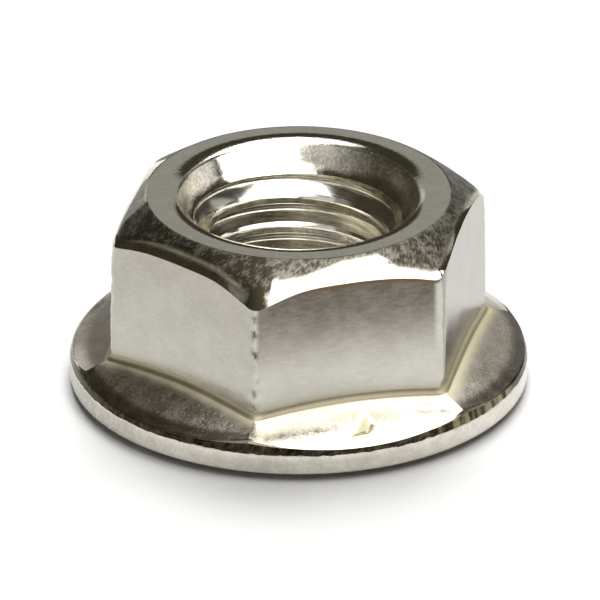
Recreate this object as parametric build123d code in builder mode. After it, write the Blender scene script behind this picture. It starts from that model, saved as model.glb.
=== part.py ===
from build123d import *
import os
from math import cos, pi, radians, sin, tan

# Hexagon nut with a flange and a serrated bearing face, M8 x 1.25, for a 13 mm spanner.
# Millimetres. The origin is the centre of the bearing face, +Z runs up the thread's axis,
# and two of the six flats face along Y.

# Thread and its two countersinks
thread_size = 8.0
thread_pitch = 1.25
minor_allowance = 0.1  # how far a tapped hole's crests stand clear of the basic profile
top_sink_diameter = 8.6
top_sink_slope = 58.0  # degrees down from level
top_sink_lip = 1.8  # radius that rolls the top face into the countersink
lip_share = 0.95  # of the narrower wall beside it, the most that this rounding may use
foot_sink_diameter = 9.0
foot_sink_slope = 45.0

# Hexagon
across_flats = 13.0
nut_height = 7.85
hex_draft = 0.5  # degrees that each flat leans in towards the top
corner_round = 0.35
top_land_diameter = 11.56  # where the chamfer's cone would meet the top face
chamfer_slope = 33.0  # degrees down from level
land_round = 0.25  # rolls the top face into the chamfer
chamfer_edge_round = 0.4  # rolls the chamfer into the flats

# Flange
flange_diameter = 17.4
rim_height = 0.65  # the upright band round the flange's edge
shoulder_round = 0.85  # quarter round from that band onto the flange's top
cone_slope = 20.0
facet_slope = 24.0  # six flat facets, one below each flat of the hexagon
facet_height = 2.24  # height of a facet where it would meet its flat
foot_fillet = 0.25

# Serrated ring under the flange
tooth_count = 24
ring_diameter = 15.9
ring_height = 0.3  # how far the ring stands out below the flange
ring_bevel = 0.15
tooth_depth = 0.28  # at the ring's outer edge, falling to nothing at the axis
tooth_land = 0.16  # share of each tooth's pitch that is a flat crest
inner_land_width = 0.4

minor_radius = (thread_size - 1.0825 * thread_pitch + minor_allowance) / 2
flat_radius = across_flats / 2
flange_radius = flange_diameter / 2
ring_radius = ring_diameter / 2
rim_top = ring_height + rim_height
shoulder_centre_radius = flange_radius - shoulder_round
inner_land_radius = foot_sink_diameter / 2 + inner_land_width


def slope_drop(run, slope):
    """Height lost over a level run on a slope given in degrees."""
    return run * tan(radians(slope))


# The hexagon, with its flats leaning in and its top corners turned to a cone.
land_radius = top_land_diameter / 2
land_corner = (land_radius, 0, nut_height)
turned_radius = flange_radius  # clear of the hexagon's corners
turned_foot = nut_height - slope_drop(turned_radius - land_radius, chamfer_slope)
with BuildPart() as hexagon:
    with BuildSketch(Plane.XY.offset(rim_top)):
        RegularPolygon(radius=flat_radius, side_count=6, major_radius=False)
    extrude(amount=nut_height - rim_top, taper=hex_draft)
    fillet(hexagon.edges().group_by(Axis.Z)[1], radius=corner_round)
    with BuildSketch(Plane.XZ):
        with BuildLine():
            Polyline(
                (0, rim_top),
                (turned_radius, rim_top),
                (turned_radius, turned_foot),
                (land_radius, nut_height),
                (0, nut_height),
                close=True,
            )
        chamfer_section = make_face()
        fillet(chamfer_section.vertices().sort_by_distance(land_corner)[0], radius=land_round)
    revolve(axis=Axis.Z, mode=Mode.INTERSECT)
    chamfer_face = hexagon.faces().filter_by(GeomType.CONE).sort_by(SortBy.AREA)[-1]
    fillet(chamfer_face.outer_wire().edges(), radius=chamfer_edge_round)

# The flange: a turned disc with a round shoulder, cut by six sloping facets.
shoulder_turn = 90.0 - cone_slope
with BuildPart() as flange:
    with BuildSketch(Plane.XZ):
        with BuildLine():
            rim = Line((flange_radius, ring_height), (flange_radius, rim_top))
            shoulder = CenterArc(
                (shoulder_centre_radius, rim_top), shoulder_round, 0, shoulder_turn
            )
            cone_start = shoulder @ 1
            cone_top = cone_start.Y + slope_drop(cone_start.X, cone_slope)
            Polyline(
                cone_start,
                (0, cone_top),
                (0, 0),
                (ring_radius - ring_bevel, 0),
                (ring_radius, ring_bevel),
                (ring_radius, ring_height),
                rim @ 0,
            )
        make_face()
    revolve(axis=Axis.Z)
    pyramid_radius = flat_radius + facet_height / tan(radians(facet_slope))
    with BuildSketch(Plane.XY):
        RegularPolygon(radius=pyramid_radius, side_count=6, major_radius=False)
    extrude(amount=cone_top, taper=90 - facet_slope, mode=Mode.INTERSECT)

# One tooth space: its steep side stands at one crest, and its ramp climbs to the next.
# Its section grows in proportion to the radius, so that every edge aims at the axis.
tooth_pitch = 2 * pi / tooth_count
space_angle = tooth_pitch * (1 - tooth_land)
space_reach = ring_radius + ring_bevel


def space_section(radius):
    """The three corners of a tooth space's section at a radius."""
    depth = tooth_depth * radius / ring_radius
    steep = (radius, 0)
    ramp_end = (radius * cos(space_angle), radius * sin(space_angle))
    return [(*steep, 0), (*steep, depth), (*ramp_end, 0)]


with BuildPart() as tooth_space:
    ConvexPolyhedron(space_section(inner_land_radius) + space_section(space_reach))

# All joined: the fillet round the foot of the hexagon, the bore and the tooth spaces.
sink_lip_radius = top_sink_diameter / 2
top_sink_depth = slope_drop(sink_lip_radius - minor_radius, top_sink_slope)
flat_land_radius = land_radius - slope_drop(land_round, chamfer_slope / 2)
top_sink_slant = (sink_lip_radius - minor_radius) / cos(radians(top_sink_slope))
lip_room = lip_share * min(flat_land_radius - sink_lip_radius, top_sink_slant)
lip_round = min(top_sink_lip, lip_room / tan(radians(top_sink_slope / 2)))
foot_sink_radius = foot_sink_diameter / 2
foot_sink_depth = slope_drop(foot_sink_radius - minor_radius, foot_sink_slope)
with BuildPart() as flange_nut:
    add(flange.part)
    add(hexagon.part)
    foot_edges = new_edges(hexagon.part, flange.part, combined=flange_nut.part)
    fillet(foot_edges, radius=foot_fillet)
    with BuildSketch(Plane.XZ):
        with BuildLine():
            Polyline(
                (0, 0),
                (foot_sink_radius, 0),
                (minor_radius, foot_sink_depth),
                (minor_radius, nut_height - top_sink_depth),
                (sink_lip_radius, nut_height),
                (0, nut_height),
                close=True,
            )
        make_face()
    revolve(axis=Axis.Z, mode=Mode.SUBTRACT)
    lip = flange_nut.faces().sort_by(Axis.Z)[-1].inner_wires()[0].edges()
    fillet(lip, radius=lip_round)
    with PolarLocations(0, tooth_count):
        add(tooth_space.part, mode=Mode.SUBTRACT)

flange_nut.part.label = "flange_nut"
os.makedirs("parts", exist_ok=True)
export_step(flange_nut.part, "parts/flange_nut.step")
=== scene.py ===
"""Serrated flange nut, M8 x 1.25, in bright nickel-plated steel on a pale studio floor."""

import logging
import math
from collections.abc import Callable
from dataclasses import dataclass
from enum import Enum

import bmesh
import bpy
import numpy as np
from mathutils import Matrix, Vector


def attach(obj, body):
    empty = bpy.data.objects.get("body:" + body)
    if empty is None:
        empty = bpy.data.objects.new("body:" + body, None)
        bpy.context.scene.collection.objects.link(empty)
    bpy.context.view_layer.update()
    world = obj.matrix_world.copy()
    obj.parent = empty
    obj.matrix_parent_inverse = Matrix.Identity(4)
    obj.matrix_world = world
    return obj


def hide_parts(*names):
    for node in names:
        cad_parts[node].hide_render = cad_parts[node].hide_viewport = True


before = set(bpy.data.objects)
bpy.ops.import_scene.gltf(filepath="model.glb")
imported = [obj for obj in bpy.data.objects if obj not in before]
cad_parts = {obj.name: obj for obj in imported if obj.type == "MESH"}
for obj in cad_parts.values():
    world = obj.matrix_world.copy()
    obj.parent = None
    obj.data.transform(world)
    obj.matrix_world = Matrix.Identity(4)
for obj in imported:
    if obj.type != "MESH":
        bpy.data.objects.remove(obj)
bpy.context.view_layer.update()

Array = np.ndarray
Piece = bpy.types.Object
Socket = bpy.types.NodeSocket
Pair = tuple[float, float]
log = logging.getLogger("flange_nut")
MM = 0.001
MICRON = 0.001 * MM
RNG_SEED = 8125
FRONT_CORNER = -120.0


class Skin(Enum):
    """The nut's kinds of surface, each by its material slot."""

    THREAD = 0
    COUNTERSINK = 1
    LAND = 2
    CHAMFER = 3
    FLAT = 4
    FILLET = 5
    FACET = 6
    SHOULDER = 7
    RIM = 8
    UNDERSIDE = 9
    LEAD = 10


class Lay(Enum):
    """Which way a surface's fine marks run."""

    ROUND = "round the axis"
    OUTWARD = "out from the axis"
    LEVEL = "along the flat"
    EVEN = "no way in particular"


class Mark(Enum):
    """What plating and handling left, and the painted glow, sheen and shade, each by the name of
    its attribute on the mesh.
    """

    PAINTED_GLOW = "pooled"
    SCRAPES_AND_SHADE = "scraped"
    PAINTED_SHADE = "dulled"
    GRAINED = "grained"
    STAIN_AND_SHEEN = "stained"


def deselect_all() -> None:
    """Leaves object mode clean, with nothing selected."""
    if bpy.context.object and bpy.context.object.mode != "OBJECT":
        bpy.ops.object.mode_set(mode="OBJECT")
    bpy.ops.object.select_all(action="DESELECT")


def pick(piece: Piece) -> None:
    """Makes one object the only selected one and the active one.

    Args:
        piece: the object to work on.
    """
    deselect_all()
    piece.select_set(True)
    bpy.context.view_layer.objects.active = piece


def edit_all(piece: Piece, *steps: Callable[[], object]) -> None:
    """Runs steps in edit mode, each with the whole mesh selected.

    Args:
        piece: a mesh object.
        steps: what to do, in order.
    """
    pick(piece)
    bpy.ops.object.mode_set(mode="EDIT")
    for step in steps:
        bpy.ops.mesh.select_all(action="SELECT")
        step()
    bpy.ops.object.mode_set(mode="OBJECT")


def apply_modifier(piece: Piece, kind: str, **settings: object) -> None:
    """Adds one modifier, sets it and applies it.

    Args:
        piece: the object that gets it.
        kind: the modifier's type.
        settings: its properties.
    """
    pick(piece)
    modifier = piece.modifiers.new(kind.lower(), kind)
    for name, value in settings.items():
        setattr(modifier, name, value)
    bpy.ops.object.modifier_apply(modifier=modifier.name)


def trace_profile(name: str, corners: list[Pair]) -> Piece:
    """Draws a profile in the XZ plane by extruding one point from corner to corner.

    Args:
        name: the new object's name.
        corners: radius and height of each corner in millimetres; the last one joins the first.

    Returns:
        The object, a closed chain of edges.
    """
    deselect_all()
    bpy.ops.mesh.primitive_plane_add(size=MM)
    profile = bpy.context.object
    profile.name = name
    bpy.ops.object.mode_set(mode="EDIT")
    bpy.ops.mesh.select_all(action="SELECT")
    bpy.ops.mesh.merge(type="CENTER")
    start = Vector((corners[0][0], 0, corners[0][1])) * MM
    bpy.ops.transform.translate(value=start)
    for here, there in zip(corners, corners[1:]):
        step = Vector((there[0] - here[0], 0, there[1] - here[1])) * MM
        bpy.ops.mesh.extrude_vertices_move(TRANSFORM_OT_translate={"value": step})
    bpy.ops.mesh.select_all(action="SELECT")
    ends = bmesh.from_edit_mesh(profile.data)
    ends.verts.ensure_lookup_table()
    for vert in ends.verts:
        vert.select = len(vert.link_edges) < 2
    ends.select_flush(False)
    bmesh.update_edit_mesh(profile.data)
    bpy.ops.mesh.edge_face_add()
    bpy.ops.object.mode_set(mode="OBJECT")
    return profile


def smoothstep(low: float, high: float, value: Array) -> Array:
    """Rises smoothly from 0, where the value is low, to 1, where it is high."""
    share = np.clip((value - low) / (high - low), 0, 1)
    return share * share * (3 - 2 * share)


def slope(degrees: float) -> float:
    """Rise over run of a slope given in degrees."""
    return math.tan(math.radians(degrees))


def cosd(degrees: Array) -> Array:
    """Cosine of angles in degrees."""
    return np.cos(np.radians(degrees))


def sind(degrees: Array) -> Array:
    """Sine of angles in degrees."""
    return np.sin(np.radians(degrees))


def blend(start: Array, end: Array, share: Array) -> Array:
    """Goes from start to end as share goes from 0 to 1."""
    return start * (1 - share) + end * share


def part_way(start: tuple, end: tuple, share: Array) -> tuple:
    """Blends the radius and the height of two stations."""
    return tuple(blend(here, there, share) for here, there in zip(start, end))


class Ripple:
    """A repeatable sum of waves over azimuth and height, for what a die and a barrel leave."""

    AT_RADIUS = 8.0

    def __init__(self, seed: int, shortest: float, longest: float, count: int = 24) -> None:
        """Draws the waves.

        Args:
            seed: makes the draw repeatable.
            shortest: the shortest wavelength in millimetres, 8 mm from the axis.
            longest: the longest wavelength.
            count: how many waves are summed.
        """
        draw = np.random.default_rng(seed)
        lengths = shortest * (longest / shortest) ** draw.random(count)
        heading = draw.random(count) * 2 * math.pi
        self.turns = np.round(2 * math.pi * self.AT_RADIUS / lengths * np.cos(heading))
        self.rise = 2 * math.pi / lengths * np.sin(heading)
        self.phase = draw.random(count) * 2 * math.pi
        self.weight = lengths / math.sqrt((lengths**2).sum() / 2)

    def at(self, azimuth: Array, height: Array) -> Array:
        """Sums the waves.

        Args:
            azimuth: in degrees.
            height: in millimetres.

        Returns:
            The sum, mostly between -2 and 2.
        """
        total = np.zeros(np.broadcast(azimuth, height).shape)
        for turns, rise, phase, weight in zip(self.turns, self.rise, self.phase, self.weight):
            total += weight * np.sin(turns * np.radians(azimuth) + rise * height + phase)
        return total


class SectionPath:
    """Collects the stations of many sections at once, in order round the outline."""

    def __init__(self, count: int) -> None:
        """Starts with no station.

        Args:
            count: how many sections there are.
        """
        self.count = count
        self.skin = Skin.THREAD
        self.radii: list[Array] = []
        self.heights: list[Array] = []
        self.skins: list[int] = []

    def points(self, radius: Array, height: Array) -> None:
        """Adds stations given one by one.

        Args:
            radius: radii, one column for each station.
            height: heights, in the same shape or one that spreads to it.
        """
        radius, height = np.broadcast_arrays(radius, height)
        shape = (self.count, radius.shape[1])
        self.radii.append(np.broadcast_to(radius, shape))
        self.heights.append(np.broadcast_to(height, shape))
        self.skins += [self.skin.value] * radius.shape[1]

    def run(self, start: tuple, end: tuple, steps: int, skip_first: bool = False) -> None:
        """Adds stations at equal steps along a straight run, without its end."""
        share = (np.arange(1 if skip_first else 0, steps) / steps)[None, :]
        self.points(*part_way(start, end, share))

    def arc(self, centre: tuple, radius: float, start: float, end: float, count: int) -> None:
        """Adds stations along an arc, with both its ends.

        Args:
            centre: radius and height of its centre, as numbers or columns.
            radius: the arc's own radius.
            start: angle of its first station from level, in degrees.
            end: angle of its last.
            count: how many stations.
        """
        share = (np.arange(count) / (count - 1))[None, :]
        angle = start + (end - start) * share
        self.points(centre[0] + radius * cosd(angle), centre[1] + radius * sind(angle))

    def last(self) -> tuple[Array, Array]:
        """The last station so far, as one column of radii and one of heights."""
        return self.radii[-1][:, -1:], self.heights[-1][:, -1:]

    def whole(self) -> tuple[Array, Array]:
        """All the stations, as one array of radii and one of heights."""
        return np.concatenate(self.radii, axis=1), np.concatenate(self.heights, axis=1)


@dataclass(frozen=True)
class Span:
    """A stretch of azimuth that fades in and out, in degrees."""

    start: float
    full: float
    fading: float
    end: float

    def share(self, azimuth: Array) -> Array:
        """How far each azimuth is inside, from 0 to 1."""
        into = smoothstep(self.start, self.full, azimuth)
        return into * smoothstep(self.end, self.fading, azimuth)


def on_front_facet(azimuth: Array, radius: Array) -> tuple[Array, Array]:
    """How far points lie across the front facet, and how far out from the axis."""
    return radius * sind(azimuth + 90.0), radius * cosd(azimuth + 90.0)


@dataclass
class NutBody:
    """The cold-formed blank with its turned chamfer, drilled hole and rolled serrations.

    All sizes are in millimetres and degrees. The origin is the centre of the bearing face.
    """

    # Hexagon.
    apothem: float = 6.5
    nut_height: float = 7.85
    draft: float = 0.5
    corner_radii: tuple[float, ...] = (0.42, 0.36, 0.33, 0.36, 0.30, 0.42)
    corner_opening: float = 0.5
    corner_opens: Pair = (5.7, 7.0)
    bite_depth: float = 0.03
    bite_width: float = 1.5
    waviness: float = 0.004
    # Top face and chamfer.
    land_radius: float = 5.78
    land_round: float = 0.25
    land_turn_end: float = 81.0
    scrape_start: float = 78.0
    chamfer_slope: float = 33.0
    break_slope: float = 62.0
    break_fall: float = 0.38
    break_spread: float = 18.0
    break_edge: float = 0.06
    break_head_bend: float = 0.6
    droop_fall: float = 0.22
    droop_spread: float = 10.0
    unbroken: Span = Span(-62, -57, -4, 0)
    unbroken_share: float = 0.85
    # Hole.
    bore_radius: float = 3.373
    lip_round: float = 1.8
    lip_centre: float = 5.28
    brink_slope: float = 20.0
    brink_round: float = 0.25
    wall_slope: float = 64.0
    wall_foot_radius: float = 4.20
    wall_foot_height: float = 6.96
    lead_slope: float = 40.0
    foot_sink_radius: float = 4.5
    # Foot, facets and flange.
    foot_height: float = 2.24
    foot_fillet: float = 0.24
    facet_slope: float = 24.0
    facet_power: float = 0.3
    # The knock's corners, across the front facet and out, and the slope of each of its sides.
    knock: tuple[Pair, ...] = ((-0.60, 8.20), (0.34, 7.02), (0.56, 7.75), (0.44, 8.08))
    knock_falls: tuple[float, ...] = (0.20, 0.60, 0.60, 0.80)
    flange_radius: float = 8.7
    rim_low: float = 0.3
    rim_top: float = 1.0
    rim_edge: float = 0.06
    rim_ragged: float = 0.022
    shoulder_round: float = 0.85
    shoulder_base: float = 0.95
    shoulder_turn: float = 26.6
    bead_step: float = 0.035
    # Bearing ring.
    ring_start: float = 8.5
    ring_radius: float = 7.95
    ring_bevel: float = 0.15
    inner_land_radius: float = 4.9
    tooth_count: int = 24
    tooth_depth: float = 0.28
    tooth_land: float = 0.16
    tooth_wall: float = 0.06
    # Mesh and texture.
    azimuth_step: float = 0.75
    ragged: Ripple = Ripple(RNG_SEED, 0.12, 0.9)
    wavy: Ripple = Ripple(RNG_SEED + 1, 2.0, 7.0, 16)

    def __post_init__(self) -> None:
        """Lays out every station of every section, in order round the outline.

        The azimuths are closer at the corners, and in pairs at each tooth's steep side.
        """
        even = np.arange(-180, 180, self.azimuth_step)
        pitch = 360 / self.tooth_count
        teeth = np.arange(self.tooth_count) * pitch - 180
        ramp_ends = teeth + pitch * (1 - self.tooth_land)
        near_corners = np.arange(6)[:, None] * 60.0 + np.arange(-3.5, 4) * self.azimuth_step
        every = np.concatenate([even, teeth - self.tooth_wall, ramp_ends, near_corners.ravel()])
        self.around = np.unique(np.round((every + 180) % 360 - 180, 4))[:, None]
        self.path = SectionPath(len(self.around))
        self.lip_low = self.nut_height - self.lip_round
        self.foot_sink_top = self.foot_sink_radius - self.bore_radius
        self.shoulder_centre = self.flange_radius - self.shoulder_round
        self.add_hole()
        self.add_land()
        self.add_chamfer()
        self.add_flat()
        self.add_facet()
        self.add_rim()
        self.add_bearing_ring()
        self.radius, self.height = self.path.whole()

    def hexagon(self, azimuth: Array, height: Array) -> Array:
        """Distance of the hexagon's skin from the axis, worn corners and all.

        Args:
            azimuth: in degrees.
            height: above the bearing face.

        Returns:
            The distances.
        """
        off_flat = azimuth % 60 - 30 + 0 * height
        off_corner = np.radians(30 - np.abs(off_flat))
        apothem = self.apothem - (height - self.rim_top) * slope(self.draft)
        rounding = np.array(self.corner_radii)[np.round(azimuth / 60).astype(int) % 6]
        rounding = rounding + self.corner_opening * smoothstep(*self.corner_opens, height)
        centre = (apothem - rounding) / math.cos(math.radians(30))
        tangent = np.arctan2((apothem - rounding) * slope(30), apothem)
        plain = apothem / cosd(off_flat)
        inside = np.clip(rounding**2 - (centre * np.sin(off_corner)) ** 2, 0, None)
        rounded = centre * np.cos(off_corner) + np.sqrt(inside)
        skin = np.where(np.radians(np.abs(off_flat)) > tangent, rounded, plain)
        wear = np.exp(-((off_corner / math.radians(self.bite_width)) ** 2))
        bite = np.clip(self.ragged.at(np.round(azimuth / 60) * 60, height), 0, None)
        skin = skin - self.bite_depth * wear * bite
        return skin + self.waviness * self.wavy.at(azimuth, height)

    def flare(self, azimuth: Array) -> Array:
        """How much each facet falls at an azimuth, as a share of its fall in the middle."""
        return cosd(azimuth % 60 - 30) ** self.facet_power

    def pressed_top(self, azimuth: Array, radius: Array) -> Array:
        """Height of the flange's top, six facets that blend into one another.

        Args:
            azimuth: in degrees.
            radius: distance from the axis.

        Returns:
            The heights.
        """
        run = radius * self.flare(azimuth) - self.apothem
        dent = self.knock_depth(azimuth, radius)
        return self.foot_height - slope(self.facet_slope) * run - dent

    def knock_depth(self, azimuth: Array, radius: Array) -> Array:
        """Depth of the small knock in the front facet.

        Args:
            azimuth: in degrees.
            radius: distance from the axis.

        Returns:
            The depths.
        """
        across, out = on_front_facet(azimuth, radius)
        depth = np.full(across.shape, 1.0)
        for start, end, fall in zip(self.knock, self.knock[1:] + self.knock[:1], self.knock_falls):
            edge = (end[0] - start[0], end[1] - start[1])
            inside = edge[0] * (out - start[1]) - edge[1] * (across - start[0])
            depth = np.minimum(depth, fall * inside / math.hypot(*edge))
        return np.clip(depth, 0, None)

    def add_hole(self) -> None:
        """Adds the plain hole, the ring that leads into the thread, and the countersink."""
        path = self.path
        wall_foot = (self.wall_foot_radius, self.wall_foot_height)
        lead_drop = (self.wall_foot_radius - self.bore_radius) * slope(self.lead_slope)
        lead_foot = (self.bore_radius, self.wall_foot_height - lead_drop)
        path.skin = Skin.THREAD
        path.run((self.bore_radius, self.foot_sink_top), lead_foot, 4)
        path.skin = Skin.LEAD
        path.run(lead_foot, wall_foot, 3)
        reach = self.lip_round - self.brink_round
        brink_centre = (
            self.lip_centre - reach * sind(self.brink_slope),
            self.lip_low + reach * cosd(self.brink_slope),
        )
        wall_head = (
            brink_centre[0] - self.brink_round * sind(self.wall_slope),
            brink_centre[1] + self.brink_round * cosd(self.wall_slope),
        )
        path.skin = Skin.COUNTERSINK
        path.run(wall_foot, wall_head, 4)
        path.arc(brink_centre, self.brink_round, 90 + self.wall_slope, 95 + self.brink_slope, 5)

    def add_land(self) -> None:
        """Adds the lip's wide round, the flat land and its turn into the chamfer."""
        path = self.path
        path.skin = Skin.LAND
        path.arc((self.lip_centre, self.lip_low), self.lip_round, 90 + self.brink_slope, 90, 6)
        land_end = self.land_radius - self.land_round * slope(self.chamfer_slope / 2)
        path.run((self.lip_centre + 0.1, self.nut_height), (land_end, self.nut_height), 1)
        land_turn = (land_end, self.nut_height - self.land_round)
        path.arc(land_turn, self.land_round, 90, self.land_turn_end, 3)
        path.skin = Skin.CHAMFER
        path.arc(land_turn, self.land_round, self.scrape_start, 90 - self.chamfer_slope, 5)

    def add_chamfer(self) -> None:
        """Adds the turned chamfer and its narrow lower break, which rounds into the flat."""
        path, around = self.path, self.around
        centred = np.exp(-(((around % 60 - 30) / self.break_spread) ** 2))
        droop = self.droop_fall * np.exp(-(((around - FRONT_CORNER) / self.droop_spread) ** 2))
        kept = 1 - self.unbroken_share * self.unbroken.share(around)
        fall = self.break_fall * (0.5 + 0.5 * centred) * kept + droop
        # The cone's foot moves in with the leaning flat, so it is found in a few rounds.
        edge = self.hexagon(around, self.nut_height - 0.8 + 0 * around)
        for _ in range(4):
            cone_foot = self.nut_height - (edge - self.land_radius) * slope(self.chamfer_slope)
            edge = self.hexagon(around, cone_foot - fall)
        setback = fall / (slope(self.break_slope) - slope(self.chamfer_slope))
        break_head = (edge - setback, cone_foot + setback * slope(self.chamfer_slope))
        turn_drop = self.break_edge * slope((90 - self.break_slope) / 2)
        break_foot = (
            edge - turn_drop * cosd(self.break_slope),
            cone_foot - fall + turn_drop * sind(self.break_slope),
        )
        start = path.last()
        bend_start = part_way(start, break_head, self.break_head_bend)
        bend_end = part_way(break_head, break_foot, 0.5)
        path.run(start, bend_start, 5, skip_first=True)
        # A smooth bend cuts the corner at the break's head.
        share = (np.arange(6) / 5)[None, :]
        to_head = part_way(bend_start, break_head, share)
        path.points(*part_way(to_head, part_way(break_head, bend_end, share), share))
        path.run(bend_end, break_foot, 3, skip_first=True)
        path.points(*break_foot)
        flat_top = cone_foot - fall - turn_drop
        path.skin = Skin.FLAT
        turn_centre = (edge - self.break_edge, flat_top)
        path.arc(turn_centre, self.break_edge, 0.6 * (90 - self.break_slope), 0, 3)

    def add_flat(self) -> None:
        """Adds the flat and the fillet at its foot."""
        path, around = self.path, self.around
        flat_top = path.last()[1]
        foot_radius = self.hexagon(around, self.foot_height + 0 * around)
        foot = self.pressed_top(around, foot_radius)
        lean = np.degrees(np.arctan(slope(self.facet_slope) * self.flare(around)))
        fillet_top = foot + self.foot_fillet * np.tan(np.radians((90 - lean) / 2))
        share = np.concatenate([[0.008], np.arange(1, 29) / 29, [0.992]])[None, :]
        heights = blend(flat_top, fillet_top, share)
        path.points(self.hexagon(around, heights), heights)
        path.skin = Skin.FILLET
        fillet_centre = (foot_radius + self.foot_fillet, fillet_top)
        path.arc(fillet_centre, self.foot_fillet, 180, 270 - lean, 8)

    def add_facet(self) -> None:
        """Adds the pressed facet and the round shoulder that stands proud of its edge."""
        path, around = self.path, self.around
        # The facet ends where the shoulder's round stands a bead's step above it.
        edge = np.full(around.shape, self.shoulder_centre + 0.1)
        beyond = np.full(around.shape, self.flange_radius - self.bead_step - 0.002)
        for _ in range(30):
            middle = (edge + beyond) / 2
            rise = np.sqrt(self.shoulder_round**2 - (middle - self.shoulder_centre) ** 2)
            proud = self.shoulder_base + rise - self.pressed_top(around, middle) > self.bead_step
            edge, beyond = np.where(proud, middle, edge), np.where(proud, beyond, middle)
        start = path.last()[0]
        share = (np.arange(1, 20) / 19)[None, :]
        radii = blend(start, edge, share)
        path.skin = Skin.FACET
        path.points(radii, self.pressed_top(around, radii))
        out = (edge + self.bead_step - self.shoulder_centre) / self.shoulder_round
        bead_start = np.degrees(np.arccos(out))
        turn = np.minimum(self.shoulder_turn, 0.97 * bead_start)
        lean = bead_start + (np.arange(7) / 6)[None, :] * (turn - bead_start)
        for skin, part in ((Skin.FACET, lean[:, :4]), (Skin.SHOULDER, lean[:, 4:])):
            path.skin = skin
            path.points(
                self.shoulder_centre + self.shoulder_round * cosd(part),
                self.shoulder_base + self.shoulder_round * sind(part),
            )

    def add_rim(self) -> None:
        """Adds the rim's upright band, from its ragged upper edge to its lower rounding."""
        path, around = self.path, self.around
        rough = self.rim_ragged * self.ragged.at(around, 0 * around)
        rim_top = self.rim_top + rough
        share = (np.arange(1, 4) / 4)[None, :]
        radii, heights = part_way(path.last(), (self.flange_radius, rim_top), share)
        path.points(radii - 0.2 * rough * share, heights)
        heights = blend(rim_top, self.rim_low, (np.arange(4) / 4)[None, :])
        path.skin = Skin.RIM
        path.points(self.flange_radius + 0 * heights, heights)
        edge_centre = (self.flange_radius - self.rim_edge, self.rim_low + self.rim_edge)
        path.arc(edge_centre, self.rim_edge, 0, -90, 4)

    def add_bearing_ring(self) -> None:
        """Adds the underside with its serrated ring, back to the foot of the hole."""
        path, around = self.path, self.around
        path.skin = Skin.UNDERSIDE
        path.run((self.ring_start, self.rim_low), (self.ring_radius, self.rim_low), 2)
        # Full depth at a tooth's steep side, falling along its ramp to 0 at the crest's land.
        pitch = 360 / self.tooth_count
        along = np.round((around + 180) % pitch, 4)
        cut = self.tooth_depth * np.clip(1 - along / (pitch * (1 - self.tooth_land)), 0, 1)
        path.points(self.ring_radius + 0 * cut, self.rim_low + 0 * cut)
        path.points(self.ring_radius + 0 * cut, np.maximum(self.ring_bevel, cut))
        inner = self.ring_radius - self.ring_bevel
        radii = inner + (np.arange(6) / 5)[None, :] * (self.inner_land_radius + 0.02 - inner)
        path.points(radii, cut * radii / self.ring_radius)
        path.points(self.inner_land_radius + 0 * cut, 0 * cut)
        path.run((self.foot_sink_radius, 0.0), (self.bore_radius, self.foot_sink_top), 3)

    def build(self) -> Piece:
        """Turns the blank from a traced section, presses it to shape and marks it.

        Returns:
            The body, with a plain hole.
        """
        middle = int(np.argmin(np.abs(self.around + 90)))
        turned = np.stack([self.radius[middle], self.height[middle]], axis=1)
        body = trace_profile("flange_nut_body", turned.tolist())
        whole_turn = {"angle": 2 * math.pi, "center": (0, 0, 0), "axis": (0, 0, 1)}
        edit_all(
            body,
            lambda: bpy.ops.mesh.delete(type="ONLY_FACE"),
            lambda: bpy.ops.mesh.spin(steps=len(self.around), **whole_turn),
            lambda: bpy.ops.mesh.remove_doubles(threshold=0.001 * MM),
        )
        column, station = self.press(body, turned)
        self.mark_skins(body, station)
        for mark, value in MarksAndPaintedLight(self).marks().items():
            layer = body.data.attributes.new(mark.value, "FLOAT", "POINT")
            layer.data.foreach_set("value", value[column, station].astype(np.float32))
        return body

    def mark_skins(self, body: Piece, station: Array) -> None:
        """Gives each face the material slot of its kind of surface.

        Args:
            body: the pressed blank.
            station: the station of each point.
        """
        skins = self.path.skins
        for face in body.data.polygons:
            around = sorted({int(station[point]) for point in face.vertices})
            wraps = around[-1] - around[0] > len(skins) // 2
            face.material_index = skins[around[0] if wraps else around[-1]]

    def press(self, body: Piece, turned: Array) -> tuple[Array, Array]:
        """Moves each upright edge of the turned blank to its own section.

        Args:
            body: the turned blank.
            turned: the section that was turned, one row of radius and height for each station.

        Returns:
            The section and the station that each point belongs to.
        """
        points = np.empty(len(body.data.vertices) * 3)
        body.data.vertices.foreach_get("co", points)
        points = points.reshape(-1, 3) / MM
        seen = np.stack([np.hypot(points[:, 0], points[:, 1]), points[:, 2]], axis=1)
        station = np.empty(len(points), dtype=int)
        batch = 4000
        for first in range(0, len(points), batch):
            part = seen[first : first + batch, None, :] - turned[None, :, :]
            station[first : first + batch] = np.argmin((part**2).sum(axis=2), axis=1)
        count = len(self.around)
        turn = np.degrees(np.arctan2(points[:, 1], points[:, 0])) % 360
        column = np.round(turn / (360 / count)).astype(int) % count
        to = np.radians(self.around[column, 0])
        out = self.radius[column, station]
        height = self.height[column, station]
        pressed = np.stack([out * np.cos(to), out * np.sin(to), height], axis=1)
        body.data.vertices.foreach_set("co", (pressed * MM).ravel())
        body.data.update()
        edit_all(body, lambda: bpy.ops.mesh.normals_make_consistent(inside=False))
        return column, station


@dataclass(frozen=True)
class FlatGrainAndPaintedLight:
    """What one flat and the facet below it show: the die's grain, a painted glow and painted shade.

    The spill is how far the painted glow runs out over the facet, in millimetres. The rest
    are shares of full painted shade, and coarse is how much of the die's grain still shows.
    """

    glow_spill: float
    coarse: float
    flat_top: float
    flat_all: float
    facet_foot: float = 0.0
    facet_brim: float = 0.0


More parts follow.
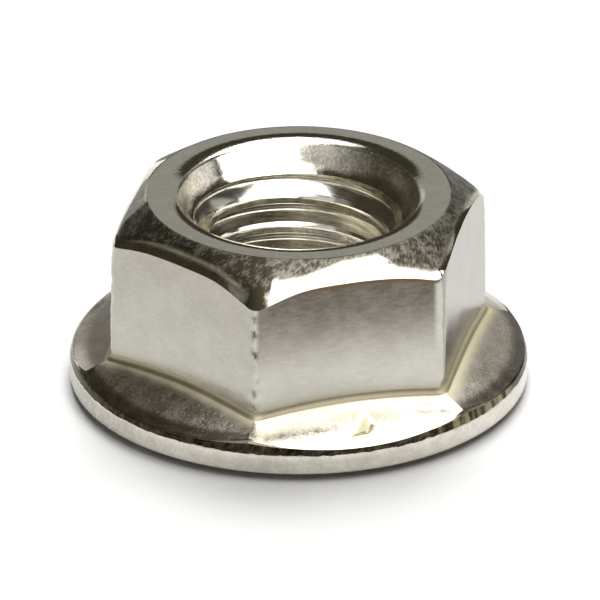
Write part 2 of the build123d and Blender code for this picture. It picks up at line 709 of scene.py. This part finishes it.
@dataclass
class MarksAndPaintedLight:
    """The marks that plating, turning and tumbling left on the pressed blank, and the painted glow,
    sheen and shade over it.

    Azimuths are in degrees, lengths in millimetres and strengths mostly from 0 to 1. The flats
    are counted round from azimuth 0.
    """

    body: NutBody
    # Painted shade, set flat by flat: every flat darker towards its top, most of all the
    # front-right flat, the right flat darker all over, the left-back facet darker at its foot, and
    # the left and right facets darker at their brims.
    flats: tuple[FlatGrainAndPaintedLight, ...] = (
        FlatGrainAndPaintedLight(glow_spill=0.10, coarse=0.7, flat_top=0.3, flat_all=0.1),
        FlatGrainAndPaintedLight(glow_spill=0.10, coarse=0.8, flat_top=0.5, flat_all=0.1),
        FlatGrainAndPaintedLight(glow_spill=0.10, coarse=0.7, flat_top=0.3, flat_all=0.1, facet_foot=0.7),
        FlatGrainAndPaintedLight(glow_spill=0.26, coarse=1.0, flat_top=0.12, flat_all=0.15, facet_brim=0.6),
        FlatGrainAndPaintedLight(glow_spill=0.08, coarse=0.12, flat_top=0.9, flat_all=0.0),
        FlatGrainAndPaintedLight(glow_spill=0.34, coarse=1.0, flat_top=0.0, flat_all=0.4, facet_brim=0.8),
    )
    back_polish: Span = Span(128, 136, 168, 176)
    left_streak: Span = Span(-178, -165, -130, -122)
    front_stain: Span = Span(-116, -98, -62, -58)
    front_fillet: Span = Span(-121, -117, -63, -59)
    shoulder_ribs: Span = Span(-76, -68, -42, -36)
    # Each rub's ends, across the front facet and out.
    rubs: tuple[tuple[Pair, Pair], ...] = (
        ((-3.5, 7.50), (-0.9, 7.68)),
        ((2.4, 7.40), (3.6, 7.36)),
    )
    rub_width: float = 0.15
    glow_depth: float = 0.16
    bright_end: float = 96.0

    def __post_init__(self) -> None:
        """Reads where each station lies from the body."""
        self.azimuth = self.body.around
        self.radius, self.height = self.body.radius, self.body.height
        self.skins = np.array(self.body.path.skins)
        # How far each station lies inside and below the chamfer's outer edge.
        self.inward = self.edge(self.radius, Skin.CHAMFER, -1) - self.radius
        self.below = self.edge(self.height, Skin.CHAMFER, -1) - self.height
        self.off_front = np.abs(self.azimuth - FRONT_CORNER)

    def on(self, *skins: Skin) -> Array:
        """Which stations lie on the given kinds of surface."""
        return np.isin(self.skins, [skin.value for skin in skins])

    def each(self, name: str) -> Array:
        """One of the flats' values, by name, at each azimuth."""
        flat = np.floor(self.azimuth / 60).astype(int) % 6
        return np.array([getattr(wear, name) for wear in self.flats])[flat]

    def edge(self, values: Array, skin: Skin, place: int) -> Array:
        """The values at a surface's first station, with place 0, or its last, with -1."""
        return values[:, [np.flatnonzero(self.skins == skin.value)[place]]]

    def shade_front_fillet(self) -> Array:
        """The front flat's fillet, painted grey and dark: painted shade."""
        return self.front_fillet.share(self.azimuth) * self.on(Skin.FILLET)

    def pooled(self) -> Array:
        """Painted bounce-light glow in the fillets, and a faint cream, rougher streak on the left
        chamfer's edge.

        Returns:
            The strength at every station.
        """
        # The painted glow is brightest at each flat's foot and fades up the flat and out over the
        # facet.
        above = np.clip(self.height - self.edge(self.height, Skin.FILLET, 0), 0, None)
        beyond = np.clip(self.radius - self.edge(self.radius, Skin.FILLET, -1), 0, None)
        glow = np.exp(-above / self.glow_depth) * np.exp(-((beyond / self.each("glow_spill")) ** 2))
        glow = glow * self.on(Skin.FLAT, Skin.FILLET, Skin.FACET)
        streak = np.exp(-(((self.inward - 0.20) / 0.05) ** 2))
        streak = streak * self.left_streak.share(self.azimuth) * self.on(Skin.CHAMFER)
        return (glow + 0.6 * streak) * (1 - 0.7 * self.shade_front_fillet())

    def scraped_and_shaded_chamfer(self) -> Array:
        """The chamfer's rough zone between its bright outer edge and the land, and its front seam:
        real roughness, painted near black as painted shade.

        Returns:
            The strength at every station.
        """
        # Where the zone lies, its near-black colour is painted shade over the chamfer's mirror.
        left_front = smoothstep(-88, -113, self.azimuth)
        right_front = smoothstep(-78, -66, self.azimuth)
        near_corner = smoothstep(-113, -122, self.azimuth)
        bright = 0.22 + 1.2 * self.back_polish.share(self.azimuth)
        bright = bright - 0.06 * smoothstep(-120, -126, self.azimuth)
        reach = 0.12 + 0.6 * left_front + 1.4 * right_front + 2.0 * (self.azimuth < -116)
        outward = self.radius - self.body.land_radius
        rough = smoothstep(bright - 0.08, bright + 0.10, self.inward)
        rough = rough * smoothstep(reach + 0.10, reach - 0.06, outward)
        rough = rough * (1 + 0.15 * near_corner)
        seam = smoothstep(5.0, 2.0, self.off_front + 3.5 * np.clip(self.inward, 0, None))
        return np.maximum(rough, 1.4 * seam) * self.on(Skin.CHAMFER)

    def corner_nicks(self) -> Array:
        """The nicks down the front corner, which are thickest at its top.

        Returns:
            The strength at every station.
        """
        near_top = 1.6 * np.exp(-np.clip(self.below, 0, None) / 0.35)
        nicks = 1.2 * self.body.ragged.at(self.azimuth, self.height) - 0.4 + near_top
        nicks = np.clip(nicks, 0, 1) * np.exp(-((self.off_front / 0.9) ** 2))
        return nicks * self.on(Skin.FLAT)

    def facet_rubs(self) -> Array:
        """The dark rubs across the front facet.

        Returns:
            The strength at every station.
        """
        across, out = on_front_facet(self.azimuth, self.radius)
        rub = np.zeros(across.shape)
        for start, end in self.rubs:
            run = (end[0] - start[0], end[1] - start[1])
            aside, along = across - start[0], out - start[1]
            share = (aside * run[0] + along * run[1]) / (run[0] ** 2 + run[1] ** 2)
            share = np.clip(share, 0, 1)
            off = np.hypot(aside - share * run[0], along - share * run[1])
            rub = np.maximum(rub, np.exp(-((off / self.rub_width) ** 2)))
        uneven = 0.8 + 0.25 * self.body.ragged.at(self.azimuth, self.height + self.radius)
        return 0.85 * rub * np.clip(uneven, 0.5, 1) * self.on(Skin.FACET)

    def stained(self) -> Array:
        """The brown line along the front flat's top, the knock's painted reflection and the
        shoulder's painted light ribs.

        Returns:
            The strength at every station.
        """
        line = smoothstep(0.14, 0.05, self.below) * self.front_stain.share(self.azimuth)
        # The knock is painted cream, a painted reflection, and the shoulder's light ribs are
        # painted light.
        knock = self.body.knock_depth(self.azimuth, self.radius)
        ribs = np.clip(0.4 + 1.2 * self.body.ragged.at(self.azimuth, 0 * self.azimuth), 0, 1)
        ribs = ribs * self.shoulder_ribs.share(self.azimuth)
        return (
            line * self.on(Skin.FLAT)
            + 0.9 * smoothstep(0.01, 0.04, knock) * self.on(Skin.FACET)
            + 0.9 * ribs * self.on(Skin.SHOULDER)
        )

    def dulled(self) -> Array:
        """Painted shade: on the flats' tops and whole flats, the facets' feet and brims, the far
        rim and the front fillet.

        Returns:
            The strength at every station.
        """
        # Painted shade: the flats darker towards the top, each facet at its foot or brim, and the
        # far rim.
        off_flat = np.abs(self.azimuth % 60 - 30)
        off_flat = np.where(self.azimuth < -90, off_flat - 1.6, off_flat)
        upper = smoothstep(3.0, 6.6, self.height) * smoothstep(28.5, 26.8, off_flat)
        flat = self.each("flat_top") * upper + self.each("flat_all")
        foot = self.each("facet_foot") * smoothstep(8.5, 7.8, self.radius)
        brim = self.each("facet_brim") * smoothstep(7.8, 8.35, self.radius)
        far_rim = smoothstep(-135, -170, self.azimuth) + (self.azimuth > 150)
        return (
            flat * self.on(Skin.FLAT)
            + (foot + brim) * self.on(Skin.FACET)
            + 0.35 * far_rim * self.on(Skin.RIM)
            + 0.9 * self.shade_front_fillet()
        )

    def grained(self) -> Array:
        """Where the grain is coarse: on the facets, the countersink and the land's lip.

        Returns:
            The strength at every station.
        """
        coarse = self.each("coarse") * smoothstep(8.25, 8.0, self.radius)
        off_bright = np.abs((self.azimuth - self.bright_end + 180) % 360 - 180)
        lip = smoothstep(5.32, 5.20, self.radius) * (self.height > 4)
        return (
            coarse * self.on(Skin.FACET)
            + smoothstep(17, 30, off_bright) * self.on(Skin.COUNTERSINK)
            + 0.6 * lip * self.on(Skin.LAND)
        )

    def marks(self) -> dict[Mark, Array]:
        """Gathers the marks and the painted glow, sheen and shade, with all that scraped the plate
        and the chamfer's painted shade in one.

        Returns:
            The strength of each mark at every station.
        """
        return {
            Mark.PAINTED_GLOW: self.pooled(),
            Mark.SCRAPES_AND_SHADE: self.scraped_and_shaded_chamfer() + self.corner_nicks() + self.facet_rubs(),
            Mark.PAINTED_SHADE: self.dulled(),
            Mark.GRAINED: self.grained(),
            Mark.STAIN_AND_SHEEN: self.stained(),
        }


@dataclass
class Tap:
    """The tool that cuts the M8 x 1.25 right-hand thread.

    Sizes are in millimetres. The torn edge is the burr below each crest, each point out from
    the crest and up from the middle of the space.
    """

    pitch: float = 1.25
    root_radius: float = 4.0
    crest_radius: float = 3.373
    crest_half: float = 0.47
    core_radius: float = 3.15
    root: tuple[Pair, ...] = ((-0.045, 0.13), (-0.012, 0.09), (0.0, 0.035))
    torn_edge: tuple[Pair, ...] = (
        (0.137, -0.387), (0.122, -0.375), (0.100, -0.404), (0.060, -0.444), (0.025, -0.500),
        (0.002, -0.570), (-0.013, -0.610),
    )
    first_root: float = -1.23
    turns: int = 8
    steps: int = 120

    def build(self) -> Piece:
        """Sweeps one tooth's section into a helix.

        Returns:
            The closed helix, which reaches past both ends of the hole.
        """
        root = [(self.root_radius + out, half) for out, half in self.root]
        upper = [
            (self.core_radius, self.crest_half),
            (self.crest_radius - 0.013, self.crest_half),
            (self.crest_radius + 0.02, self.crest_half - 0.03),
            *root,
        ]
        lower = [
            *((radius, -half) for radius, half in reversed(root)),
            *((self.crest_radius + out, half) for out, half in self.torn_edge),
            (self.core_radius, self.torn_edge[-1][1]),
        ]
        corners = [(radius, self.first_root + half) for radius, half in upper + lower]
        tap = trace_profile("tap", corners)
        apply_modifier(
            tap,
            "SCREW",
            axis="Z",
            angle=2 * math.pi,
            screw_offset=self.pitch * MM,
            iterations=self.turns,
            steps=self.steps,
            render_steps=self.steps,
            use_merge_vertices=False,
        )
        edit_all(
            tap,
            lambda: bpy.ops.mesh.fill_holes(sides=0),
            lambda: bpy.ops.mesh.normals_make_consistent(inside=False),
        )
        return tap

    def cut(self, body: Piece) -> None:
        """Cuts the thread into a body and puts the tool away.

        Args:
            body: the part with its plain hole.
        """
        tap = self.build()
        apply_modifier(body, "BOOLEAN", operation="DIFFERENCE", object=tap, solver="EXACT")
        bpy.data.objects.remove(tap)
        faces = [f for f in body.data.polygons if f.material_index == Skin.THREAD.value]
        fresh = sorted({point for face in faces for point in face.vertices})
        for mark in Mark:
            layer = body.data.attributes[mark.value]
            values = np.empty(len(layer.data), dtype=np.float32)
            layer.data.foreach_get("value", values)
            values[fresh] = 0
            layer.data.foreach_set("value", values)


def srgb(code: str) -> tuple[float, float, float, float]:
    """Turns an sRGB hex colour to linear.

    Args:
        code: six hex digits.

    Returns:
        Red, green, blue and alpha.
    """
    parts = [int(code[i : i + 2], 16) / 255 for i in (0, 2, 4)]
    linear = [p / 12.92 if p <= 0.04045 else ((p + 0.055) / 1.055) ** 2.4 for p in parts]
    return (*linear, 1.0)


@dataclass(frozen=True)
class NickelPlate:
    """Nickel over cold-formed steel, with the marks that its tool left under the plate and the
    colours of the painted glow, sheen and shade.

    Lengths are in millimetres and depths in thousandths of a millimetre. Each mark adds its
    own roughness, and worn_relief is how much deeper the grain is where the plate is worn.
    """

    name: str
    bright: str
    dull: str
    roughness: float
    spread: float
    grain: float
    grain_depth: float
    lay: Lay = Lay.EVEN
    stretch: float = 1.0
    mottle: float = 0.7
    mottle_depth: float = 3.0
    worn_relief: float = 1.0
    glow_rough: float = 0.12
    scraped_rough: float = 0.0
    shade_rough: float = 0.10
    grained_rough: float = 0.0
    # Colours mixed over the plate: the painted glow, the stain with painted sheen, the painted
    # shade, and the scrapes, which also paint the chamfer's shade.
    pooled: str = "DAD3B4"
    stained: str = "8F8A6E"
    shade_tint: str = "5A5247"
    scraped: str = "3E3A2E"

    def make(self) -> bpy.types.Material:
        """Makes the material.

        Returns:
            The material.
        """
        material = bpy.data.materials.new(self.name)
        material.use_nodes = True
        nodes = PlateNodes(self, material.node_tree)
        shader = material.node_tree.nodes["Principled BSDF"]
        shader.inputs["Metallic"].default_value = 1.0
        results = {"Base Color": nodes.tone(), "Roughness": nodes.gloss(), "Normal": nodes.relief()}
        for name, result in results.items():
            material.node_tree.links.new(result, shader.inputs[name])
        return material


class PlateNodes:
    """The shader nodes of one plate."""

    def __init__(self, plate: NickelPlate, tree: bpy.types.NodeTree) -> None:
        """Adds the patterns and the marks that the rest is mixed from.

        Args:
            plate: the finish.
            tree: its material's tree.
        """
        self.plate = plate
        self.tree = tree
        place = self.add("TexCoord", out="Object")
        place = self.add("VectorMath", {"operation": "SCALE"}, {0: place}, Scale=1 / MM)
        self.grain, self.mottle = (
            self.add("TexNoise", None, {0: at}, Scale=1 / size, Detail=detail, Roughness=0.6)
            for at, size, detail in (
                (self.along_lay(place), plate.grain, 2.0),
                (place, plate.mottle, 5.0),
            )
        )
        self.uneven = self.add(
            "Math", {"operation": "MULTIPLY_ADD"}, {0: self.grain, 2: self.mottle}, i1=0.8
        )
        self.marks = {
            mark: self.add("Attribute", {"attribute_name": mark.value}, out="Fac") for mark in Mark
        }

    def add(
        self,
        kind: str,
        settings: dict[str, object] | None = None,
        links: dict[str | int, Socket] | None = None,
        out: str | int = 0,
        **inputs: object,
    ) -> Socket:
        """Adds a node with its settings, its input values and its links.

        Args:
            kind: the node's type, without its ShaderNode prefix.
            settings: the node's properties by name.
            links: the sockets that feed its inputs, by name or place.
            out: which output is wanted, by name or place.
            inputs: values of its inputs by name, with _ for a space, or by place, as i0.

        Returns:
            The wanted output.
        """
        node = self.tree.nodes.new("ShaderNode" + kind)
        for name, value in (settings or {}).items():
            setattr(node, name, value)
        for name, value in inputs.items():
            place = int(name[1:]) if name[1:].isdigit() else name.replace("_", " ")
            node.inputs[place].default_value = value
        for place, socket in (links or {}).items():
            self.tree.links.new(socket, node.inputs[place])
        return node.outputs[out]

    def along_lay(self, place: Socket) -> Socket:
        """Stretches the pattern's space along the lay.

        Args:
            place: a position in millimetres.

        Returns:
            The position, drawn out along the lay.
        """
        along = 1 / self.plate.stretch
        if self.plate.lay is Lay.EVEN:
            return place
        if self.plate.lay is Lay.LEVEL:
            return self.add("Mapping", None, {"Vector": place}, Scale=(along, along, 1))
        # The direction from the axis is laid out on a circle of 5 mm, amid the metal, and
        # either it or the distance and the height are drawn out.
        level = self.add("VectorMath", {"operation": "MULTIPLY"}, {0: place}, i1=(1, 1, 0))
        outward = self.add("VectorMath", {"operation": "NORMALIZE"}, {0: level})
        reach = self.add("VectorMath", {"operation": "LENGTH"}, {0: level}, "Value")
        rise = self.add("SeparateXYZ", None, {0: place}, "Z")
        path = self.add("CombineXYZ", None, {"X": reach, "Z": rise})
        turning = self.plate.lay is Lay.ROUND
        scales = (5.0 * along, 1.0) if turning else (5.0, along)
        outward, path = (
            self.add("VectorMath", {"operation": "SCALE"}, {0: vector}, Scale=scale)
            for vector, scale in zip((outward, path), scales)
        )
        return self.add("VectorMath", {"operation": "ADD"}, {0: outward, 1: path})

    def tone(self) -> Socket:
        """Mixes the colour: bright and dull patches, and each mark's own colour over them, painted
        shade, glow and sheen among them.

        Returns:
            The colour.
        """
        patches = self.add("MapRange", None, {0: self.uneven}, From_Min=0.75, From_Max=1.05)
        ends = {"i6": srgb(self.plate.dull), "i7": srgb(self.plate.bright)}
        tone = self.add("Mix", {"data_type": "RGBA"}, {0: patches}, 2, **ends)
        amounts = dict(self.marks)
        # The painted shade and the scrapes are themselves patchy.
        for mark, start, end, first, last in (
            (Mark.PAINTED_SHADE, 0.6, 1.1, 1.12, 0.88),
            (Mark.SCRAPES_AND_SHADE, 0.75, 1.05, 1.0, 0.72),
        ):
            ends = {"From_Min": start, "From_Max": end, "To_Min": first, "To_Max": last}
            share = self.add("MapRange", None, {0: self.uneven}, **ends)
            links = {0: self.marks[mark], 1: share}
            amounts[mark] = self.add("Math", {"operation": "MULTIPLY"}, links)
        for mark, colour in (
            (Mark.PAINTED_SHADE, self.plate.shade_tint),
            (Mark.SCRAPES_AND_SHADE, self.plate.scraped),
            (Mark.PAINTED_GLOW, self.plate.pooled),
            (Mark.STAIN_AND_SHEEN, self.plate.stained),
        ):
            links = {0: amounts[mark], 6: tone}
            tone = self.add("Mix", {"data_type": "RGBA"}, links, 2, i7=srgb(colour))
        return tone

    def gloss(self) -> Socket:
        """Adds each mark's roughness to the plate's own.

        Returns:
            The roughness.
        """
        low, high = (self.plate.roughness + side * self.plate.spread for side in (-1, 1))
        ends = {"From_Min": 0.6, "From_Max": 1.2, "To_Min": low, "To_Max": high}
        gloss = self.add("MapRange", None, {0: self.uneven}, **ends)
        for mark, more in (
            (Mark.PAINTED_GLOW, self.plate.glow_rough),
            (Mark.SCRAPES_AND_SHADE, self.plate.scraped_rough),
            (Mark.PAINTED_SHADE, self.plate.shade_rough),
            (Mark.GRAINED, self.plate.grained_rough),
        ):
            links = {0: self.marks[mark], 2: gloss}
            gloss = self.add("Math", {"operation": "MULTIPLY_ADD"}, links, i1=more)
        return gloss

    def relief(self) -> Socket:
        """Raises the grain and the mottle, at full depth only where the plate is worn.

        Returns:
            The normal.
        """
        deepest = max(self.plate.worn_relief, 1)
        links = {0: self.marks[Mark.SCRAPES_AND_SHADE], 1: self.marks[Mark.GRAINED]}
        worn = self.add("Math", {"operation": "MAXIMUM"}, links)
        strength = self.add("MapRange", None, {0: worn}, To_Min=1 / deepest, To_Max=1.0)
        links = {"Strength": strength}
        patterns = ((self.grain, self.plate.grain_depth), (self.mottle, self.plate.mottle_depth))
        for pattern, depth in patterns:
            links["Height"] = pattern
            links["Normal"] = self.add("Bump", None, links, Distance=depth * deepest * MICRON)
        return links["Normal"]


def nut_finishes() -> dict[Skin, NickelPlate]:
    """The finish of each kind of surface: one plate over what each tool left.

    Returns:
        The finishes.
    """
    return {
        # Tapped: bright along the cut, with faint chatter up the flank.
        Skin.THREAD: NickelPlate(
            "nickel_on_tapped_thread", bright="E6E3DA", dull="D2CEC2", roughness=0.15,
            spread=0.05, grain=0.10, grain_depth=3.0, lay=Lay.ROUND, stretch=12,
        ),
        # Pressed: mirror bright at the far side, and pitted satin where it is grained.
        Skin.COUNTERSINK: NickelPlate(
            "nickel_on_countersink", bright="DEDACF", dull="BDB7AA", roughness=0.09,
            spread=0.03, grain=0.12, grain_depth=0.6, mottle_depth=0.4, worn_relief=16.0,
            grained_rough=0.16,
        ),
        # Faced: flat and smooth, an even sheen with a pitted lip.
        Skin.LAND: NickelPlate(
            "nickel_on_faced_top", bright="D6D3C7", dull="CCC9BD", roughness=0.09,
            spread=0.01, grain=0.12, grain_depth=0.5, mottle_depth=0.4, worn_relief=10.0,
        ),
        # Turned: bright beside the flats, scraped rough towards the top, where the scrapes'
        # near-black colour is painted shade.
        Skin.CHAMFER: NickelPlate(
            "nickel_on_turned_chamfer", bright="DAD4C8", dull="BDB7AA", roughness=0.09,
            spread=0.03, grain=0.075, grain_depth=1.3, lay=Lay.OUTWARD, stretch=1.6,
            mottle=0.4, mottle_depth=0.8, worn_relief=4.0, scraped_rough=0.38,
        ),
        # Drawn and tumbled: an even satin with faint level rubs.
        Skin.FLAT: NickelPlate(
            "nickel_on_drawn_flat", bright="CAC7BF", dull="C1BEB6", roughness=0.15,
            spread=0.03, grain=0.10, grain_depth=2.0, lay=Lay.LEVEL, stretch=3, mottle=1.2,
            mottle_depth=1.5, pooled="A39C86", stained="6A5540",
        ),
        # The hollow is painted darker and creamier than the flat, painted shade with a painted
        # glow, and soft.
        Skin.FILLET: NickelPlate(
            "nickel_fillet_painted_shade_and_glow", bright="A8A28F", dull="857F6E", roughness=0.36,
            spread=0.06, grain=0.25, grain_depth=5.0, pooled="AEA78C",
        ),
        # Pressed by the die: bright, with a fine grain.
        Skin.FACET: NickelPlate(
            "nickel_on_pressed_facet", bright="DED7CA", dull="C6BFB0", roughness=0.15,
            spread=0.05, grain=0.10, grain_depth=2.0, mottle_depth=1.5, worn_relief=5.0,
            grained_rough=0.12, glow_rough=0.34,
        ),
        # Squeezed out past the die, and painted near black: painted shade for its dark band, with
        # painted light ribs across it.
        Skin.SHOULDER: NickelPlate(
            "nickel_shoulder_painted_shade", bright="4E483A", dull="241F17", roughness=0.26,
            spread=0.08, grain=0.09, grain_depth=6.0, lay=Lay.OUTWARD, stretch=2, mottle=0.4,
        ),
        # Tumbled: a plain satin.
        Skin.RIM: NickelPlate(
            "nickel_on_flange_rim", bright="DCD8CE", dull="CAC6BB", roughness=0.24,
            spread=0.05, grain=0.15, grain_depth=3.0,
        ),
        # Rolled teeth: bright and plain.
        Skin.UNDERSIDE: NickelPlate(
            "nickel_on_serrations", bright="D2CCC0", dull="ADA698", roughness=0.2,
            spread=0.07, grain=0.12, grain_depth=5.0, lay=Lay.OUTWARD, stretch=8,
        ),
        # Drilled ahead of the tap: dull and creamy, with fine rings.
        Skin.LEAD: NickelPlate(
            "nickel_on_thread_lead", bright="AFA68A", dull="77715C", roughness=0.50,
            spread=0.06, grain=0.08, grain_depth=6.0, lay=Lay.ROUND, stretch=6,
        ),
    }


@dataclass
class FlangeNut:
    """The whole nut: one piece of steel, formed, drilled, tapped and plated."""

    body: NutBody
    tap: Tap
    finishes: dict[Skin, NickelPlate]
    smooth_below: float = 32.0

    def build(self) -> Piece:
        """Builds the nut and hands it over to the CAD node's place.

        Returns:
            The finished piece.
        """
        nut = self.body.build()
        for skin in Skin:
            nut.data.materials.append(self.finishes[skin].make())
        self.tap.cut(nut)
        nut.name = "serrated_flange_nut"
        nut.data.name = nut.name
        edit_all(nut, lambda: bpy.ops.mesh.remove_doubles(threshold=0.0005 * MM))
        bpy.ops.object.shade_smooth_by_angle(angle=math.radians(self.smooth_below))
        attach(nut, "root")
        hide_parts("flange_nut")
        return nut


@dataclass(frozen=True)
class Softbox:
    """A soft rectangular light that faces the nut.

    Azimuth and elevation are degrees to the camera's right and up, and lengths are in metres.
    Its face looks as bright as its brightness says, where a white card in full light is 1.
    """

    name: str
    azimuth: float
    elevation: float
    distance: float
    size: Pair
    brightness: float
    seen: bool = True
    lights_floor: bool = True

    def add(self, direction: Vector) -> None:
        """Adds the light.

        Args:
            direction: the unit vector from the nut towards it.
        """
        deselect_all()
        place = direction * self.distance
        look = (-place).to_track_quat("-Z", "Y").to_euler()
        bpy.ops.object.light_add(type="AREA", location=place, rotation=look)
        light = bpy.context.object
        light.name = self.name
        light.data.shape = "RECTANGLE"
        light.data.size, light.data.size_y = self.size
        light.data.energy = math.pi * self.size[0] * self.size[1] * self.brightness
        light.visible_glossy = self.seen
        light.visible_diffuse = self.lights_floor


@dataclass
class Studio:
    """The pale floor, the soft lights and the camera."""

    azimuth: float = -17.2
    elevation: float = 26.4
    distance: float = 520.0
    pixels_per_mm: float = 26.36
    frame_pixels: int = 600
    target_height: float = 3.3
    axis_pixel: float = 298.65
    sensor: float = 36.0
    floor_size: float = 3.0
    floor_tone: str = "CBCBCA"
    room_tone: str = "F5E9BE"
    room_strength: float = 0.055
    softboxes: tuple[Softbox, ...] = (
        # The main light, which also gives the floor its shadow.
        Softbox("overhead", 90, 81, 0.6, (0.96, 0.46), 3.2),
        # Mirrored in the front and right chamfer, the facets and the rim.
        Softbox("front_right", 43, 36, 0.9, (1.4, 1.0), 2.4, lights_floor=False),
        Softbox("side_right", 106, 10, 0.9, (0.5, 0.5), 1.0),
        # Dimmer, for the left flat and facet.
        Softbox("front_left", -22, 28, 0.9, (0.62, 0.9), 0.6),
        Softbox("far_left", -55, 28, 0.9, (0.36, 0.9), 0.2),
        # Cards behind, mirrored in the land and the lip.
        Softbox("back_wall", 178, 24.5, 1.2, (1.3, 0.36), 0.34),
        Softbox("low_card_left", 204, 12, 1.2, (0.42, 0.50), 0.32),
        Softbox("low_card_right", 157, 6, 1.2, (0.30, 0.34), 0.55),
        Softbox("side_card", 138, 37, 1.0, (0.26, 0.26), 0.45),
        # Whitens the floor and the shadow.
        Softbox("floor_fill", 180, 56, 1.0, (0.5, 0.5), 14.3, seen=False),
    )

    def towards(self, azimuth: float, elevation: float) -> Vector:
        """A direction seen from the camera's side: 0 is straight towards the camera.

        Args:
            azimuth: degrees to the camera's right.
            elevation: degrees up.

        Returns:
            The unit vector.
        """
        turn = math.radians(self.azimuth + azimuth)
        rise = math.radians(elevation)
        return Vector(
            (math.sin(turn) * math.cos(rise), -math.cos(turn) * math.cos(rise), math.sin(rise))
        )

    def add_camera(self) -> None:
        """Adds the camera and makes it the scene's own."""
        deselect_all()
        target = Vector((0, 0, self.target_height)) * MM
        place = target + self.towards(0, self.elevation) * self.distance * MM
        look = (target - place).to_track_quat("-Z", "Y").to_euler()
        bpy.ops.object.camera_add(location=place, rotation=look)
        camera = bpy.context.object
        camera.data.sensor_width = self.sensor
        camera.data.lens = self.sensor * self.pixels_per_mm * self.distance / self.frame_pixels
        camera.data.shift_x = (self.frame_pixels / 2 - self.axis_pixel) / self.frame_pixels
        bpy.context.scene.camera = camera

    def add_floor(self) -> None:
        """Adds the pale floor, of matt paper: white, with hardly any sheen."""
        deselect_all()
        bpy.ops.mesh.primitive_plane_add(size=self.floor_size)
        floor = bpy.context.object
        floor.name = "studio_floor"
        paint = bpy.data.materials.new("matt_white_paper")
        paint.use_nodes = True
        shader = paint.node_tree.nodes["Principled BSDF"]
        shader.inputs["Base Color"].default_value = srgb(self.floor_tone)
        shader.inputs["Roughness"].default_value = 0.9
        shader.inputs["Specular IOR Level"].default_value = 0.1
        floor.data.materials.append(paint)

    def light_world(self) -> None:
        """Fills the room with a weak even light."""
        world = bpy.data.worlds.new("dim_room")
        world.use_nodes = True
        background = world.node_tree.nodes["Background"]
        background.inputs["Color"].default_value = srgb(self.room_tone)
        background.inputs["Strength"].default_value = self.room_strength
        bpy.context.scene.world = world

    def build(self) -> None:
        """Sets up the studio."""
        bpy.context.scene.view_settings.view_transform = "Standard"
        self.add_camera()
        self.add_floor()
        self.light_world()
        for box in self.softboxes:
            box.add(self.towards(box.azimuth, box.elevation))


def main() -> None:
    """Builds the studio and the nut, and reports each piece."""
    logging.basicConfig(level=logging.INFO, format="%(name)s: %(message)s")
    studio = Studio()
    studio.build()
    log.info("studio ready")
    nut = FlangeNut(NutBody(), Tap(), nut_finishes()).build()
    log.info("%s: %d faces", nut.name, len(nut.data.polygons))


if __name__ == "__main__":
    main()
